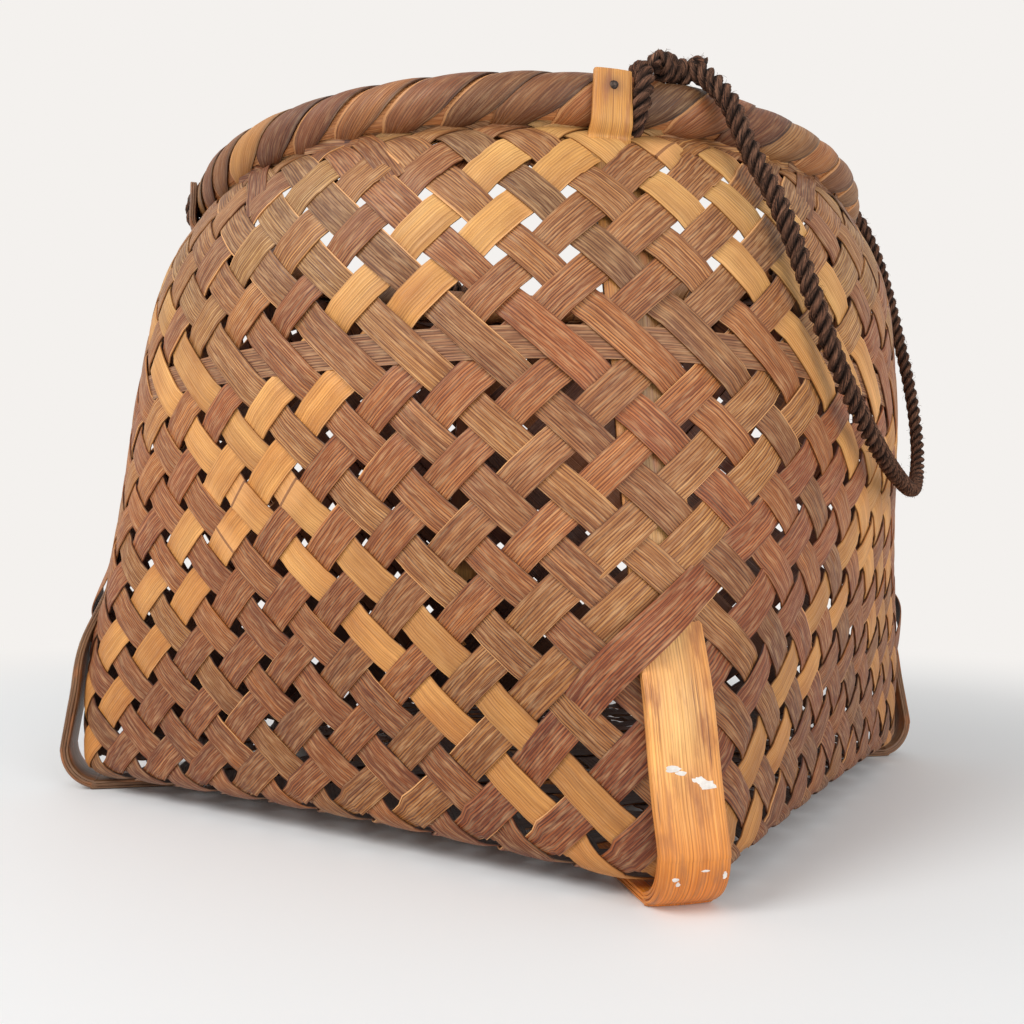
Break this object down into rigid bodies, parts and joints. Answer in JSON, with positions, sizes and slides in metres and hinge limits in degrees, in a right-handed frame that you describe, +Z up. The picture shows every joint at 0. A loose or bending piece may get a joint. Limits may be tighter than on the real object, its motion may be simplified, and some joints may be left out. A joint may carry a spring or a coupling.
{
  "type": "bamboo basket",
  "caption": "Open plaited bamboo basket with a square base, a round wrapped rim, crossed corner ribs that end as feet and straps, and two hinged loops of rope as handles.",
  "frame": {"origin": "middle of the area the basket stands on, at the undersides of the crossed ribs", "axes": "+Z up, +X towards the handle that shows in the picture, -Y towards the front face, square to the base's sides"},
  "size_m": [0.3572, 0.34, 0.2866],
  "materials": {
    "strands": "split bamboo, aged to a reddish brown",
    "ribs": "split bamboo, weathered",
    "hoops": "split bamboo, skin side",
    "wrapping": "thin split bamboo, worn smooth",
    "rope": "laid natural fibre, dark brown and fuzzy",
    "nails": "dull grey"
  },
  "bodies": {
    "basket": {"woven_body": "strands", "waist_hoop": "hoops", "corner_rib_near_far": "ribs", "corner_rib_right_left": "ribs", "rim_outer_hoop": "hoops", "rim_inner_hoop": "hoops", "rim_wrap": "wrapping", "rim_nails": "nails", "lashing_near": "rope", "lashing_right": "rope", "lashing_far": "rope", "lashing_left": "rope", "knot_near": "rope", "knot_right": "rope", "knot_far": "rope", "knot_left": "rope"},
    "right_handle": {"right_rope": "rope"},
    "left_handle": {"left_rope": "rope"}
  },
  "joints": [
    {"name": "right_handle_hinge", "type": "hinge", "parent": "basket", "child": "right_handle", "pos_m": [0.1195, 0, 0.2775], "axis": [0, -1, 0], "range_deg": [0, 200]},
    {"name": "left_handle_hinge", "type": "hinge", "parent": "basket", "child": "left_handle", "pos_m": [-0.1195, 0, 0.2775], "axis": [0, 1, 0], "range_deg": [0, 200]}
  ]
}
